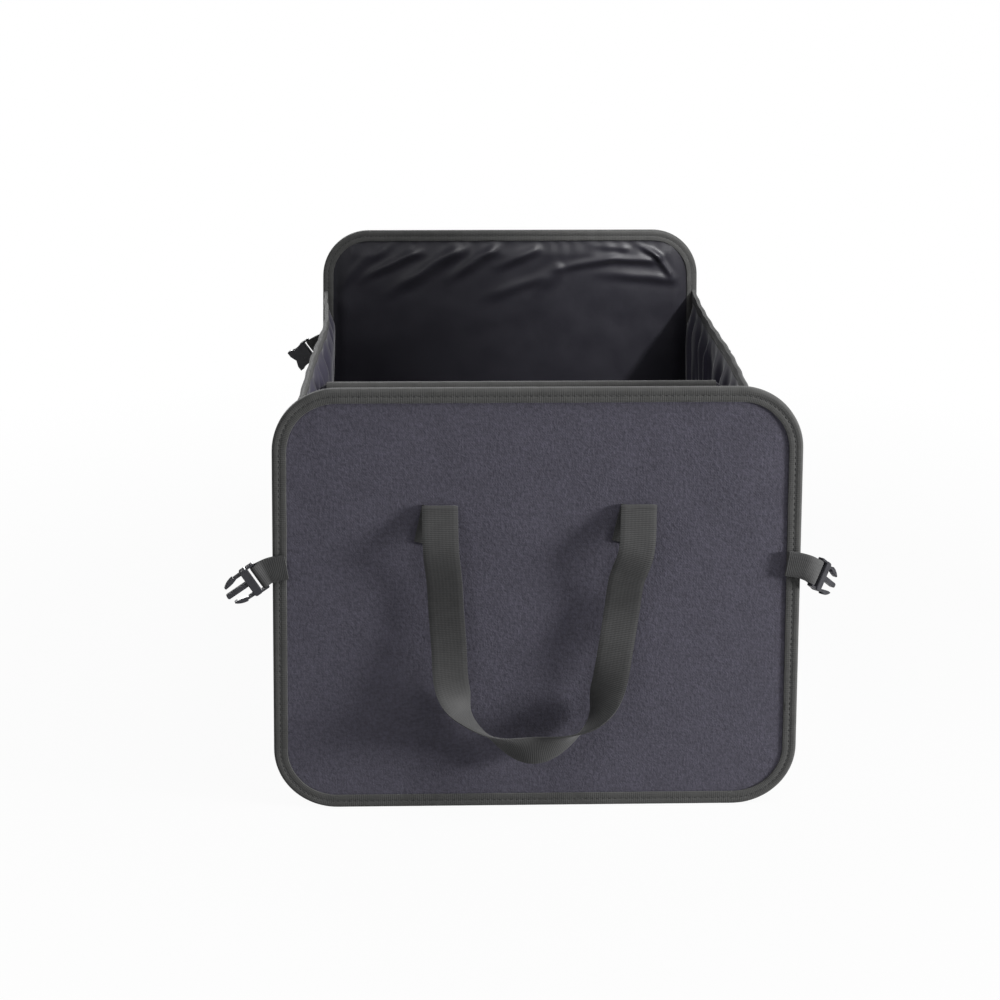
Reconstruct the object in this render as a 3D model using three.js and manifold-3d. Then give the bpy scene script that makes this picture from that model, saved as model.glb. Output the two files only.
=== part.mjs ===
// Folding car trunk organizer: two stiff panels joined by a pleated cloth gusset, with a divider,
// base boards, two webbing handles and four side-release buckle halves on short straps.
// Millimetres, +Z up, front panel towards -Y, origin on the floor under the middle of the box.
import * as THREE from "three";
import { mergeVertices } from "three/addons/utils/BufferGeometryUtils.js";
import Module from "manifold-3d";

const wasm = await Module();
wasm.setup();

// Box
const boxLength = 610; // outer face of the front panel to outer face of the rear panel
const panelWidthTop = 364;
const panelWidthFoot = 380;
const panelHeight = 314;
const panelCornerRadius = 45;

// Layers
const coverThickness = 0.8;
const liningThickness = 0.8;
const boardThickness = 3;
const wallThickness = 1.2; // outer cloth and lining of the gusset, sewn together
const tapeThickness = 1;
const layerGap = 0.3; // between two layers that lie on each other
const boardInset = 5; // the stiffener stops short of the panel's edge
const bindingCover = 10; // how far the panel binding reaches over each face
const bindingRound = 0.8; // softened outer corners of the folded tape

// Gusset
const wallHalfWidth = 181; // outer side of the cloth wall at the panels
const wallHeight = 254;
const wallPinch = 3; // the walls lean in by this much at the middle
const pleatCount = 13; // odd, so that a fold points inwards at the divider
const pleatDepth = 7;
const pleatStart = 30; // height at which the folds begin to open
const pleatFull = 195; // height at which they are fully open
const pleatHem = 240; // from here up the taped edge pulls them nearly straight
const pleatHemShare = 0.25; // the part of their depth that is left at the taped edge
const gussetRadiusPanel = 40; // lower corner where the gusset is sewn round a panel
const gussetRadiusMiddle = 12; // lower corner along the compartments
const gussetRun = 90; // length over which one radius turns into the other
const wallTapeCover = 8;
const wallTapeThickness = 0.8;

// Divider and base boards
const dividerHeight = 240;
const dividerCornerRadius = 6;
const dividerTapeCover = 8;
const baseBoardThickness = 3.5;
const baseBoardMargin = 1.5;

// Handles
const handleWebbing = 25;
const webbingThickness = 1.6;
const handleSpan = 138; // between the middles of the two legs
const handleShift = 1; // the handle sits this much to the right of the middle
const handleFoldHeight = 229;
const handleFoldRadius = 1.4;
const handleSewnLength = 27;
const handleSewnShift = 5; // the sewn ends slant, so that they show beside the hanging legs
const handleDrop = 180;
const handleStandoff = 20;
const handleTwist = THREE.MathUtils.degToRad(130); // each leg twists by this much down to the lowest point

// Buckle straps
const strapWebbing = 18;
const strapThickness = 1.3;
const frontStrapHeight = 187;
const rearStrapHeight = 203;
const strapReach = 20; // sewn end to the middle of the buckle's bar
const longStrapReach = 24; // the same on the front right strap
const rearStrapReach = 21.5;
const strapSlant = 8; // the straps are sewn on slanting down by this many degrees
const strapFlat = 3; // the part next to the sewn end that stays straight
const strapHold = 11; // the part that lies on the binding, before the strap can turn

// Side-release buckles
const barRadius = 1.2;
const railThickness = 1.7;
const railHeight = 4.4;
const slotLength = 3.2; // between the bar and the moulded body
const bodyHeight = 6;
const bodyLength = 6;
const prongLength = 14.4;
const prongHeight = 4;
const guideWidth = 3.5;
const guideLength = 16.6;
const armWidth = 2;
const headWidth = 4.2;
const headLength = 8.9;
const shoulderStep = 0.6; // the head stands out past its arm and past the body's socket wall
const socketHeight = 7.6;
const socketWall = 1.3;
const socketPlay = 0.4; // round the prongs inside the socket
const socketWaist = 1.6; // the sides curve in at the release windows
const mouthScoop = 2.5;
const mouldEdge = 0.4; // small rounding of the moulded edges
const railEdge = 0.3;
const socketEdge = 0.8;
const bodyCorner = 1.4;
const guideCorner = 1.2;
const cavityCorner = 0.8;
const weld = 1; // how far one moulded form runs into the next, so that they join

// How the four buckles rest, in degrees: droop is below the horizontal, turn is away from the plane
// of the panel, outwards, or back past its edge where it is negative.
const buckles = [
  {
    name: "front_left", kind: "male", side: -1, face: -1,
    height: frontStrapHeight, reach: strapReach, droop: 31, turn: 15,
  },
  {
    name: "front_right", kind: "male", side: 1, face: -1,
    height: frontStrapHeight, reach: longStrapReach, droop: 36, turn: -44,
  },
  {
    name: "rear_left", kind: "female", side: -1, face: 1,
    height: rearStrapHeight, reach: rearStrapReach, droop: 36, turn: 0,
  },
  {
    name: "rear_right", kind: "female", side: 1, face: 1,
    height: rearStrapHeight, reach: rearStrapReach, droop: 36, turn: 0,
  },
];

// Worked out from the sizes above
const sandwich = coverThickness + boardThickness + liningThickness + 2 * layerGap;
const tapeDepth = tapeThickness + layerGap;
const panelThickness = sandwich + 2 * tapeDepth;
const coverFace = boxLength / 2 - tapeDepth;
const wallEnd = boxLength / 2 - panelThickness - layerGap;
const dividerSleeve = boardThickness + 2 * (layerGap + coverThickness);
const dividerHalfWidth = wallHalfWidth - wallPinch - pleatDepth - wallThickness - layerGap;
const buckleWidth = strapWebbing + 2 * layerGap + 2 * railThickness;
const bodyStart = barRadius + slotLength;
const bodyFront = bodyStart + bodyLength;
const armSide = buckleWidth / 2 - 1; // outer side of each arm

const finishes = {
  cover: { color: 0x44434b, roughness: 0.9, metalness: 0 },
  lining: { color: 0x222126, roughness: 0.55, metalness: 0 },
  wall: { color: 0x3a3944, roughness: 0.7, metalness: 0 },
  binding: { color: 0x3a3a3a, roughness: 0.85, metalness: 0 },
  webbing: { color: 0x353535, roughness: 0.8, metalness: 0 },
  board: { color: 0x2c2c2e, roughness: 0.8, metalness: 0 },
  buckle: { color: 0x26262a, roughness: 0.35, metalness: 0 },
};

const organizer = new THREE.Group();

function addPart(name, geometry, finish, parent = organizer) {
  const mesh = new THREE.Mesh(geometry, new THREE.MeshStandardMaterial(finishes[finish]));
  mesh.name = name;
  parent.add(mesh);
}

function smoothStep(low, high, value) {
  return THREE.MathUtils.smoothstep(value, low, high);
}

// Boolean helpers
function toSolid(geometry) {
  const bare = geometry.clone();
  bare.deleteAttribute("normal");
  bare.deleteAttribute("uv");
  const merged = mergeVertices(bare, 1e-4);
  const mesh = new wasm.Mesh({
    numProp: 3,
    vertProperties: merged.attributes.position.array,
    triVerts: new Uint32Array(merged.index.array),
  });
  return new wasm.Manifold(mesh);
}

function toGeometry(solid) {
  const mesh = solid.getMesh();
  const geometry = new THREE.BufferGeometry();
  geometry.setAttribute("position", new THREE.BufferAttribute(mesh.vertProperties, mesh.numProp));
  geometry.setIndex(new THREE.BufferAttribute(mesh.triVerts, 1));
  geometry.computeVertexNormals();
  return geometry;
}

// Closed outline through corners [a, b, radius], each rounded by its own arc.
function roundedOutline(corners, steps = 6) {
  const points = [];
  corners.forEach(([a, b, radius], i) => {
    const corner = new THREE.Vector2(a, b);
    const before = corners[(i + corners.length - 1) % corners.length];
    const after = corners[(i + 1) % corners.length];
    const toBefore = new THREE.Vector2(before[0], before[1]).sub(corner).normalize();
    const toAfter = new THREE.Vector2(after[0], after[1]).sub(corner).normalize();
    const half = Math.acos(toBefore.dot(toAfter)) / 2;
    const centre = toBefore.clone().add(toAfter).normalize();
    centre.multiplyScalar(radius / Math.sin(half)).add(corner);
    const start = toBefore.clone().multiplyScalar(radius / Math.tan(half)).add(corner).sub(centre);
    const sweep = (Math.PI - 2 * half) * Math.sign(toAfter.cross(toBefore));
    for (let k = 0; k <= steps; k += 1) {
      const turned = start.clone().rotateAround(new THREE.Vector2(), (sweep * k) / steps);
      points.push(turned.add(centre));
    }
  });
  return points;
}

// Solid between two heights or two depths, from an outline in the x-y or the x-z plane.
function slabXY(outline, low, high) {
  const options = { depth: high - low, bevelEnabled: false };
  return new THREE.ExtrudeGeometry(new THREE.Shape(outline), options).translate(0, 0, low);
}

function slabXZ(outline, low, high) {
  return slabXY(outline, 0, high - low).rotateX(Math.PI / 2).translate(0, high, 0);
}

// Closed solid between two matching grids of points, such as the two faces of a cloth.
// A ring closes on itself along its first direction.
function clothSolid(outer, inner, ring = false) {
  const rows = outer.length;
  const columns = outer[0].length;
  const positions = [];
  for (const grid of [outer, inner]) {
    for (const row of grid) {
      for (const point of row) {
        positions.push(point.x, point.y, point.z);
      }
    }
  }
  const outside = (i, j) => (i % rows) * columns + j;
  const inside = (i, j) => rows * columns + outside(i, j);
  const faces = [];
  const quad = (a, b, c, d) => faces.push(a, b, c, a, c, d);
  const lastRow = ring ? rows : rows - 1;
  for (let i = 0; i < lastRow; i += 1) {
    for (let j = 0; j < columns - 1; j += 1) {
      quad(outside(i, j), outside(i + 1, j), outside(i + 1, j + 1), outside(i, j + 1));
      quad(inside(i, j), inside(i, j + 1), inside(i + 1, j + 1), inside(i + 1, j));
    }
    quad(outside(i, 0), inside(i, 0), inside(i + 1, 0), outside(i + 1, 0));
    const j = columns - 1;
    quad(outside(i, j), outside(i + 1, j), inside(i + 1, j), inside(i, j));
  }
  if (!ring) {
    for (let j = 0; j < columns - 1; j += 1) {
      const i = rows - 1;
      quad(outside(0, j), outside(0, j + 1), inside(0, j + 1), inside(0, j));
      quad(outside(i, j), inside(i, j), inside(i, j + 1), outside(i, j + 1));
    }
  }
  const geometry = new THREE.BufferGeometry();
  geometry.setAttribute("position", new THREE.Float32BufferAttribute(positions, 3));
  geometry.setIndex(enclosedVolume(positions, faces) < 0 ? faces.reverse() : faces);
  geometry.computeVertexNormals();
  return geometry;
}

function enclosedVolume(positions, faces) {
  const corner = (index) => new THREE.Vector3().fromArray(positions, 3 * index);
  let volume = 0;
  for (let k = 0; k < faces.length; k += 3) {
    volume += corner(faces[k]).dot(corner(faces[k + 1]).cross(corner(faces[k + 2]))) / 6;
  }
  return volume;
}

// Flat webbing along stations {point, across}: across points from the middle to one edge.
function webbing(stations, width, thickness) {
  const top = [];
  const bottom = [];
  stations.forEach(({ point, across }, i) => {
    const before = stations[Math.max(i - 1, 0)].point;
    const after = stations[Math.min(i + 1, stations.length - 1)].point;
    const along = after.clone().sub(before).normalize();
    const side = across.clone().addScaledVector(along, -across.dot(along)).normalize();
    const up = along.clone().cross(side).multiplyScalar(thickness / 2);
    const edges = [-width / 2, width / 2].map((w) => point.clone().addScaledVector(side, w));
    top.push(edges.map((edge) => edge.clone().add(up)));
    bottom.push(edges.map((edge) => edge.clone().sub(up)));
  });
  return clothSolid(top, bottom);
}

// Stiff panels

function panelHalfWidth(height) {
  return THREE.MathUtils.lerp(panelWidthFoot, panelWidthTop, height / panelHeight) / 2;
}

function panelOutline(inset) {
  const radius = panelCornerRadius - inset;
  const top = panelHeight - inset;
  const halfFoot = panelHalfWidth(inset) - inset;
  const halfTop = panelHalfWidth(top) - inset;
  return roundedOutline([
    [-halfFoot, inset, radius],
    [halfFoot, inset, radius],
    [halfTop, top, radius],
    [-halfTop, top, radius],
  ]);
}

// One layer of a panel, between two depths measured inwards from the panel's outermost face.
function panelLayer(face, inset, start, thickness) {
  const near = face * (boxLength / 2 - start);
  const far = face * (boxLength / 2 - start - thickness);
  return slabXZ(panelOutline(inset), Math.min(near, far), Math.max(near, far));
}

// Tape folded over the panel's edge, as a U section carried round the outline.
function panelBinding(face) {
  const fold = (cover, skin, round) => {
    const start = skin;
    const end = panelThickness - skin;
    return [
      [cover, start],
      [skin + round, start],
      [skin, start + round],
      [skin, end - round],
      [skin + round, end],
      [cover, end],
    ];
  };
  const carry = (section) => {
    const columns = section.map(([inset, depth]) =>
      panelOutline(inset).map(
        (p) => new THREE.Vector3(p.x, face * (boxLength / 2 - depth), p.y),
      ),
    );
    return columns[0].map((_, i) => columns.map((column) => column[i]));
  };
  const outer = carry(fold(bindingCover, 0, bindingRound));
  const inner = carry(fold(bindingCover, tapeThickness, layerGap / 2));
  return clothSolid(outer, inner, true);
}

function addPanel(name, face) {
  const edge = tapeDepth;
  const boardStart = edge + coverThickness + layerGap;
  const liningStart = boardStart + boardThickness + layerGap;
  addPart(`${name}_cover`, panelLayer(face, edge, edge, coverThickness), "cover");
  addPart(`${name}_board`, panelLayer(face, boardInset, boardStart, boardThickness), "board");
  addPart(`${name}_lining`, panelLayer(face, edge, liningStart, liningThickness), "lining");
  addPart(`${name}_binding`, panelBinding(face), "binding");
}

// Cloth gusset

const pleatSteps = 4;
const stationStep = (2 * wallEnd) / (pleatCount * pleatSteps);
const wallStations = Array.from(
  { length: pleatCount * pleatSteps + 1 },
  (_, i) => -wallEnd + stationStep * i,
);

function gussetRadius(y) {
  const bend = smoothStep(0, gussetRun, wallEnd - Math.abs(y));
  return THREE.MathUtils.lerp(gussetRadiusPanel, gussetRadiusMiddle, bend);
}

// How far the wall's cloth stands inside its straight line at the panels.
function wallInset(y, height) {
  const open = smoothStep(pleatStart, pleatFull, height);
  const hem = smoothStep(pleatFull, pleatHem, height);
  const depth = pleatDepth * THREE.MathUtils.lerp(1, pleatHemShare, hem);
  const pleat = 0.5 - 0.5 * Math.cos((Math.PI * pleatCount * (y + wallEnd)) / wallEnd);
  const pinch = Math.cos((Math.PI * y) / (2 * wallEnd));
  return open * (depth * pleat + wallPinch * pinch);
}

// One face of a wall: up round the lower corner, then up the pleats to the top edge.
function wallFace(side, depth) {
  const cornerSteps = 4;
  const risingSteps = 3;
  const hemHeights = [(pleatFull + pleatHem) / 2, pleatHem, wallHeight];
  return wallStations.map((y) => {
    const radius = gussetRadius(y);
    const row = [];
    for (let k = 0; k <= cornerSteps; k += 1) {
      const angle = (Math.PI / 2) * (k / cornerSteps);
      const reach = radius - depth;
      const x = wallHalfWidth - radius + reach * Math.sin(angle);
      row.push(new THREE.Vector3(side * x, y, radius - reach * Math.cos(angle)));
    }
    const heights = [];
    for (let k = 1; k <= risingSteps; k += 1) {
      heights.push(THREE.MathUtils.lerp(radius, pleatFull, k / risingSteps));
    }
    for (const height of [...heights, ...hemHeights]) {
      const x = wallHalfWidth - depth - wallInset(y, height);
      row.push(new THREE.Vector3(side * x, y, height));
    }
    return row;
  });
}

// Tape folded over a wall's top edge.
function wallBinding(side) {
  const middle = wallThickness / 2;
  const fold = (skin) =>
    wallStations.map((y) => {
      const half = middle + layerGap + skin;
      const low = wallHeight - wallTapeCover;
      const high = wallHeight + layerGap + skin;
      return [
        [-half, low],
        [-half, high],
        [half, high],
        [half, low],
      ].map(([out, height]) => {
        const x = wallHalfWidth - middle - wallInset(y, wallHeight) + out;
        return new THREE.Vector3(side * x, y, height);
      });
    });
  return clothSolid(fold(wallTapeThickness), fold(0));
}

// Outline along the gusset's lower corners from start to end, set in by a margin. It bends at the
// same stations as the walls, and only where their lower corners change.
function gussetOutline(start, end, margin) {
  const bends = wallStations.filter(
    (y) => y > start && y < end && wallEnd - Math.abs(y) < gussetRun + stationStep,
  );
  const right = [start, ...bends, end].map(
    (y) => new THREE.Vector2(wallHalfWidth - gussetRadius(y) - margin, y),
  );
  const left = right.map((p) => new THREE.Vector2(-p.x, p.y)).reverse();
  return [...right, ...left];
}

function addGusset() {
  for (const [name, side] of [["left", -1], ["right", 1]]) {
    addPart(`${name}_wall`, clothSolid(wallFace(side, 0), wallFace(side, wallThickness)), "wall");
    addPart(`${name}_wall_binding`, wallBinding(side), "binding");
  }
  addPart("base_cloth", slabXY(gussetOutline(-wallEnd, wallEnd, layerGap), 0, wallThickness), "wall");
  const boardFoot = wallThickness + layerGap;
  const innerEdge = dividerSleeve / 2 + 2 * layerGap;
  for (const [name, face] of [["front", -1], ["rear", 1]]) {
    const outerEdge = wallEnd - baseBoardMargin;
    const [start, end] = face < 0 ? [-outerEdge, -innerEdge] : [innerEdge, outerEdge];
    const outline = gussetOutline(start, end, baseBoardMargin);
    const board = slabXY(outline, boardFoot, boardFoot + baseBoardThickness);
    addPart(`${name}_base_board`, board, "board");
  }
}

// Divider

function dividerOutline(inset, foot, top) {
  const half = dividerHalfWidth - inset;
  return roundedOutline([
    [-half, foot, dividerCornerRadius],
    [half, foot, dividerCornerRadius],
    [half, top, dividerCornerRadius],
    [-half, top, dividerCornerRadius],
  ]);
}

function addDivider() {
  const foot = wallThickness + layerGap;
  const top = dividerHeight - tapeDepth;
  const skin = coverThickness + layerGap;
  const board = slabXZ(dividerOutline(skin, foot, top - skin), -boardThickness / 2, boardThickness / 2);
  addPart("divider_board", board, "board");

  // The sleeve is open at its foot, where the board slides in.
  const pocketHalf = boardThickness / 2 + layerGap;
  const pocketTop = top - coverThickness;
  const pocket = dividerOutline(coverThickness, foot - 2 * dividerCornerRadius, pocketTop);
  const sleeve = slabXZ(dividerOutline(0, foot, top), -dividerSleeve / 2, dividerSleeve / 2);
  const cut = toSolid(slabXZ(pocket, -pocketHalf, pocketHalf));
  addPart("divider_cover", toGeometry(toSolid(sleeve).subtract(cut)), "cover");

  const fold = (half, peak) => [
    [-half, dividerHeight - dividerTapeCover],
    [-half, peak],
    [half, peak],
    [half, dividerHeight - dividerTapeCover],
  ];
  const reach = dividerHalfWidth - dividerCornerRadius;
  const carry = (section) =>
    [-reach, reach].map((x) => section.map(([y, z]) => new THREE.Vector3(x, y, z)));
  const inner = dividerSleeve / 2 + layerGap;
  const outerFold = carry(fold(inner + tapeThickness, dividerHeight));
  const innerFold = carry(fold(inner, dividerHeight - tapeThickness));
  addPart("divider_binding", clothSolid(outerFold, innerFold), "binding");
}

// Handles: each is one strap, sewn on at both ends, folded over and hanging in a loop. Its legs
// show their outer side, and its lowest part has twisted over and shows its inner side.
// The route is given as [across, down, out, twist] shares of the span, drop, standoff and twist.
const handleRoute = [
  [-1, 0, 0, 0],
  [-0.99, 0.15, 0.35, 0],
  [-0.95, 0.33, 0.5, 0.03],
  [-0.92, 0.54, 0.48, 0.14],
  [-0.88, 0.73, 0.6, 0.3],
  [-0.72, 0.84, 0.81, 0.55],
  [-0.46, 0.93, 0.88, 0.65],
  [-0.06, 0.98, 0.94, 1],
  [0.3, 0.94, 0.88, 0.8],
  [0.58, 0.85, 0.82, 0.5],
  [0.71, 0.73, 0.6, 0.35],
  [0.79, 0.55, 0.48, 0.14],
  [0.86, 0.33, 0.46, 0.08],
  [0.97, 0.15, 0.33, 0.03],
  [1, 0, 0, 0],
];

function handleStations(face) {
  const sewnOut = layerGap + webbingThickness / 2;
  const foldOut = sewnOut + 2 * handleFoldRadius;
  const place = (x, out, z) => new THREE.Vector3(handleShift + x, face * (coverFace + out), z);

  // From the sewn end up to the fold and over it.
  const sewnEnd = (side) => {
    const across = new THREE.Vector3(side, 0, 0);
    const x = (side * handleSpan) / 2;
    const stations = [];
    const sewnSteps = 3;
    for (let k = 0; k < sewnSteps; k += 1) {
      const below = 1 - k / sewnSteps;
      const z = handleFoldHeight - handleSewnLength * below;
      stations.push({ point: place(x - handleSewnShift * below, sewnOut, z), across });
    }
    const foldSteps = 5;
    for (let k = 0; k < foldSteps; k += 1) {
      const angle = (Math.PI * k) / foldSteps;
      const out = sewnOut + handleFoldRadius * (1 - Math.cos(angle));
      const z = handleFoldHeight + handleFoldRadius * Math.sin(angle);
      stations.push({ point: place(x, out, z), across });
    }
    return stations;
  };

  const curve = new THREE.CatmullRomCurve3(
    handleRoute.map(([across, down, out]) =>
      place(
        (across * handleSpan) / 2,
        foldOut + out * (handleStandoff - foldOut),
        handleFoldHeight - down * handleDrop,
      ),
    ),
    false,
    "centripetal",
  );
  const twists = new THREE.SplineCurve(
    handleRoute.map(([, , , twist], k) => new THREE.Vector2(k, handleTwist * twist)),
  );
  const loopSteps = 4 * (handleRoute.length - 1);
  const loop = [];
  for (let k = 0; k <= loopSteps; k += 1) {
    const share = k / loopSteps;
    const along = curve.getTangent(share);
    const twist = twists.getPoint(share).y;
    const across = new THREE.Vector3(along.z, 0, -along.x).normalize();
    across.multiplyScalar(Math.cos(twist)).add(new THREE.Vector3(0, -face * Math.sin(twist), 0));
    loop.push({ point: curve.getPoint(share), across });
  }
  return [...sewnEnd(-1), ...loop, ...sewnEnd(1).reverse()];
}

// Buckle straps

// Middle line of a strap and its own directions, from the sewn end to the buckle's bar.
function strapFrames(buckle) {
  const { side, face, height, reach } = buckle;
  const steps = 12;
  const step = reach / steps;
  const y = face * (boxLength / 2 + 1.5 * layerGap + strapThickness);
  const x = side * (panelHalfWidth(height) - bindingCover);
  const point = new THREE.Vector3(x, y, height);
  const frames = [];
  for (let k = 0; k <= steps; k += 1) {
    const hang = smoothStep(strapFlat, reach, k * step);
    const droop = THREE.MathUtils.degToRad(THREE.MathUtils.lerp(strapSlant, buckle.droop, hang));
    const turn = THREE.MathUtils.degToRad(buckle.turn * smoothStep(strapHold, reach, k * step));
    const heading = new THREE.Vector3(side * Math.cos(turn), face * Math.sin(turn), 0);
    const along = heading.clone().multiplyScalar(Math.cos(droop));
    along.z = -Math.sin(droop);
    const across = heading.clone().multiplyScalar(Math.sin(droop));
    across.z = Math.cos(droop);
    const out = across.clone().cross(along);
    frames.push({ point: point.clone(), along, across, out });
    point.addScaledVector(along, step);
  }
  return frames;
}

// The strap runs out to the bar, round it and back over itself.
function buckleStrap(buckle) {
  const frames = strapFrames(buckle);
  const end = frames[frames.length - 1];
  const flat = (strapThickness + layerGap) / 2;
  const eye = barRadius + layerGap + strapThickness / 2;
  const spread = (k) => THREE.MathUtils.lerp(flat, eye, smoothStep(0.7, 1, k / (frames.length - 1)));
  const layer = (sign) =>
    frames.map(({ point, across, out }, k) => ({
      point: point.clone().addScaledVector(out, sign * spread(k)),
      across,
    }));
  const turnSteps = 6;
  const turn = [];
  for (let k = 1; k < turnSteps; k += 1) {
    const angle = Math.PI * (k / turnSteps - 0.5);
    const point = end.point.clone().addScaledVector(end.out, eye * Math.sin(angle));
    turn.push({ point: point.addScaledVector(end.along, eye * Math.cos(angle)), across: end.across });
  }
  return webbing([...layer(-1), ...turn, ...layer(1).reverse()], strapWebbing, strapThickness);
}

// Buckle halves, moulded in one piece. In their own frame the bar lies on the Z axis, +X points
// away from the strap and Y is the thickness.

// Moulded plate from an outline in the x-z plane, centred on its thickness.
function plate(outline, height, edge = mouldEdge) {
  const shape = outline instanceof THREE.Shape ? outline : new THREE.Shape(outline);
  const geometry = new THREE.ExtrudeGeometry(shape, {
    depth: height - 2 * edge,
    bevelEnabled: edge > 0,
    bevelThickness: edge,
    bevelSize: edge,
    bevelOffset: -edge,
    bevelSegments: 1,
    curveSegments: 5,
  });
  return toSolid(geometry.rotateX(Math.PI / 2).translate(0, height / 2 - edge, 0));
}

function rectangle(xLow, xHigh, zLow, zHigh, radius, steps = 2) {
  return roundedOutline(
    [
      [xLow, zLow, radius],
      [xHigh, zLow, radius],
      [xHigh, zHigh, radius],
      [xLow, zHigh, radius],
    ],
    steps,
  );
}

// Bar and side rails that hold the strap, the same on both halves.
function strapEnd() {
  const half = buckleWidth / 2;
  const bar = new THREE.CylinderGeometry(barRadius, barRadius, buckleWidth - railThickness, 12);
  let solid = toSolid(bar.rotateX(Math.PI / 2));
  for (const side of [-1, 1]) {
    const edges = [side * half, side * (half - railThickness)].sort((a, b) => a - b);
    const rail = rectangle(-1.2 * barRadius, bodyStart + weld, ...edges, 0.45 * railThickness);
    solid = solid.add(plate(rail, railHeight, railEdge));
  }
  return solid;
}

// Springy arm with a wedge-shaped head and a square shoulder behind it.
function armShape(side) {
  const outer = armSide;
  const root = bodyFront - weld;
  const shoulder = bodyFront + prongLength - headLength;
  const tip = bodyFront + prongLength;
  const shape = new THREE.Shape();
  const at = (x, z) => [x, side * z];
  shape.moveTo(...at(root, outer - armWidth));
  shape.lineTo(...at(root, outer));
  shape.lineTo(...at(shoulder, outer - 0.2));
  shape.lineTo(...at(shoulder + 0.3, outer + shoulderStep));
  shape.quadraticCurveTo(
    ...at(shoulder + 0.6 * headLength, outer),
    ...at(tip, outer - headWidth + 0.9),
  );
  shape.lineTo(...at(tip - 0.4, outer - headWidth));
  shape.quadraticCurveTo(
    ...at(shoulder + 0.3 * headLength, outer - headWidth + 0.2),
    ...at(shoulder - 1.5, outer - armWidth),
  );
  return shape;
}

function maleBuckle() {
  const half = buckleWidth / 2;
  const body = plate(rectangle(bodyStart, bodyFront, -half, half, bodyCorner), bodyHeight);
  const guideEnd = bodyFront + guideLength;
  const guide = plate(
    rectangle(bodyFront - weld, guideEnd, -guideWidth / 2, guideWidth / 2, guideCorner),
    prongHeight,
  );
  let solid = strapEnd().add(body).add(guide);
  for (const side of [-1, 1]) {
    solid = solid.add(plate(armShape(side), prongHeight));
  }
  return toGeometry(solid);
}

function femaleBuckle() {
  const half = buckleWidth / 2;
  const mouth = bodyFront + prongLength - 1;
  const window = [mouth - prongLength + socketPlay, mouth - prongLength + headLength + socketPlay];
  const middle = (window[0] + window[1]) / 2;
  const shape = new THREE.Shape();
  shape.moveTo(bodyStart, -half);
  shape.lineTo(window[0] - 1.5, -half);
  shape.quadraticCurveTo(middle, -half + 2 * socketWaist, window[1] + 1.5, -half);
  shape.lineTo(mouth, -half);
  shape.lineTo(mouth, half);
  shape.lineTo(window[1] + 1.5, half);
  shape.quadraticCurveTo(middle, half - 2 * socketWaist, window[0] - 1.5, half);
  shape.lineTo(bodyStart, half);

  const cavityHeight = prongHeight + 2 * socketPlay;
  const cavityHalf = half - socketWall;
  const cavityStart = mouth - prongLength - socketPlay;
  const cavity = rectangle(cavityStart, mouth + 2 * weld, -cavityHalf, cavityHalf, cavityCorner);
  const boreHalf = guideWidth / 2 + socketPlay;
  const boreStart = mouth - guideLength - socketPlay;
  const bore = rectangle(boreStart, mouth, -boreHalf, boreHalf, guideCorner);
  const windows = rectangle(...window, -half - 2 * weld, half + 2 * weld, cavityCorner);
  const scoopRadius = half;
  const scoopCentre = mouth - mouthScoop + scoopRadius;
  const scoop = new THREE.Shape();
  scoop.absellipse(scoopCentre, 0, scoopRadius, cavityHalf - 0.5, 0, 2 * Math.PI);
  const solid = strapEnd()
    .add(plate(shape, socketHeight, socketEdge))
    .subtract(plate(cavity, cavityHeight, 0))
    .subtract(plate(bore, cavityHeight, 0))
    .subtract(plate(windows, cavityHeight, 0))
    .subtract(plate(scoop, socketHeight + 2 * weld, 0));
  return toGeometry(solid);
}

function addBuckle(buckle) {
  addPart(`${buckle.name}_strap`, buckleStrap(buckle), "webbing");
  const { point, along, across, out } = strapFrames(buckle).pop();
  const carrier = new THREE.Group();
  carrier.position.copy(point);
  carrier.setRotationFromMatrix(new THREE.Matrix4().makeBasis(along, out, across));
  organizer.add(carrier);
  const geometry = buckle.kind === "male" ? maleBuckle() : femaleBuckle();
  addPart(`${buckle.name}_${buckle.kind}_buckle`, geometry, "buckle", carrier);
}

addPanel("front", -1);
addPanel("rear", 1);
addGusset();
addDivider();
addPart("front_handle", webbing(handleStations(-1), handleWebbing, webbingThickness), "webbing");
addPart("rear_handle", webbing(handleStations(1), handleWebbing, webbingThickness), "webbing");
buckles.forEach(addBuckle);

export default organizer;
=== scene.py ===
import math

import bpy
import numpy as np
from mathutils import Matrix, Vector, noise


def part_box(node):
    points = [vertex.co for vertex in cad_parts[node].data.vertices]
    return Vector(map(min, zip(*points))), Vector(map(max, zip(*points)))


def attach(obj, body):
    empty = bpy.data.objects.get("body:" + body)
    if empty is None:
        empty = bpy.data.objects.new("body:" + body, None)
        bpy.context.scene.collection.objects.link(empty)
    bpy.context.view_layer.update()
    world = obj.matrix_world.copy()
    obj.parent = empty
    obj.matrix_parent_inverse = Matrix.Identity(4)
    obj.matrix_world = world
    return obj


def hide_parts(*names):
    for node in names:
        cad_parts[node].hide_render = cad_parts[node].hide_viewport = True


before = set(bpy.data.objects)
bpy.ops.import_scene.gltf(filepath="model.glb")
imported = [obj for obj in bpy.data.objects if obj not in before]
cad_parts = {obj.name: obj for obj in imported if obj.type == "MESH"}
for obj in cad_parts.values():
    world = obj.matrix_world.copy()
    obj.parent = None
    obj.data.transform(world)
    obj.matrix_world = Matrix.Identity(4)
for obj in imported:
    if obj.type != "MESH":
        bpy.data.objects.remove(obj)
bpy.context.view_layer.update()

MM = 0.001

# Camera of the photograph, fitted to the corners of both panels
CAMERA_PLACE = (-0.06216, -1.59516, 0.65410)
CAMERA_YAW = 1.5877
CAMERA_PITCH = 18.003
CAMERA_ROLL = 0.1415
CAMERA_LENS = 70.58

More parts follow.
